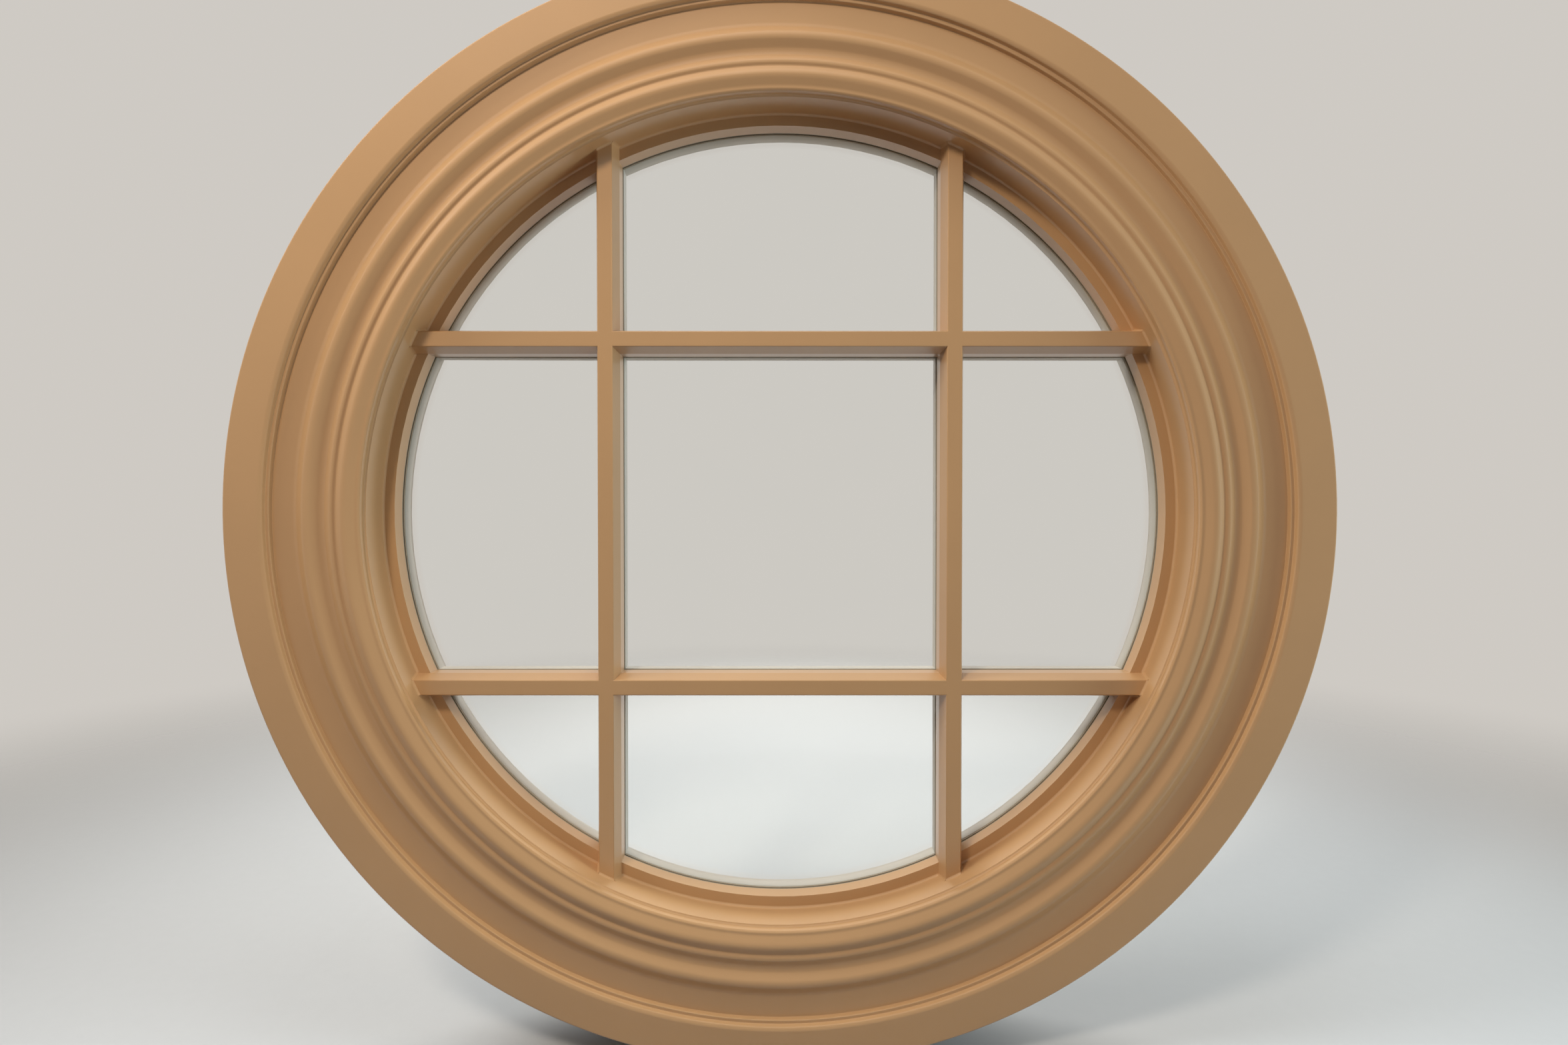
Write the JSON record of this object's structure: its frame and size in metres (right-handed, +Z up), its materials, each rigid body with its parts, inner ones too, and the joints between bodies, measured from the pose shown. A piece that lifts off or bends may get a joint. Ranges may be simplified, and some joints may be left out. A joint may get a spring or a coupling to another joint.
{
  "type": "round window",
  "caption": "Fixed round window with a square-gridded glazed sash, a wall-deep lining, a moulded round trim in front and a plain stepped one behind.",
  "frame": {"origin": "centre of the window, on its axis, in the middle of the wall's thickness", "axes": "+Y along the window's axis from its front to its rear, +X to the right seen from the front, +Z up"},
  "size_m": [1.1492, 0.132, 1.1494],
  "materials": {
    "painted_timber": "warm beige semi-gloss paint",
    "clear_glass": "clear float glass",
    "glazing_tape": "matt",
    "block_plastic": "matt",
    "screw_steel": "zinc plated"
  },
  "bodies": {
    "root": {"lining": "painted_timber", "front_trim": "painted_timber", "rear_trim": "painted_timber", "sash_ring": "painted_timber", "bar_upright_left": "painted_timber", "bar_upright_right": "painted_timber", "bar_cross_upper": "painted_timber", "bar_cross_lower": "painted_timber", "pane_top_left": "clear_glass", "pane_top": "clear_glass", "pane_top_right": "clear_glass", "pane_left": "clear_glass", "pane_centre": "clear_glass", "pane_right": "clear_glass", "pane_bottom_left": "clear_glass", "pane_bottom": "clear_glass", "pane_bottom_right": "clear_glass", "beads_top_left": "painted_timber", "beads_top": "painted_timber", "beads_top_right": "painted_timber", "beads_left": "painted_timber", "beads_centre": "painted_timber", "beads_right": "painted_timber", "beads_bottom_left": "painted_timber", "beads_bottom": "painted_timber", "beads_bottom_right": "painted_timber", "tapes_top_left": "glazing_tape", "tapes_top": "glazing_tape", "tapes_top_right": "glazing_tape", "tapes_left": "glazing_tape", "tapes_centre": "glazing_tape", "tapes_right": "glazing_tape", "tapes_bottom_left": "glazing_tape", "tapes_bottom": "glazing_tape", "tapes_bottom_right": "glazing_tape", "setting_blocks": "block_plastic", "sash_screws": "screw_steel"}
  },
  "joints": []
}
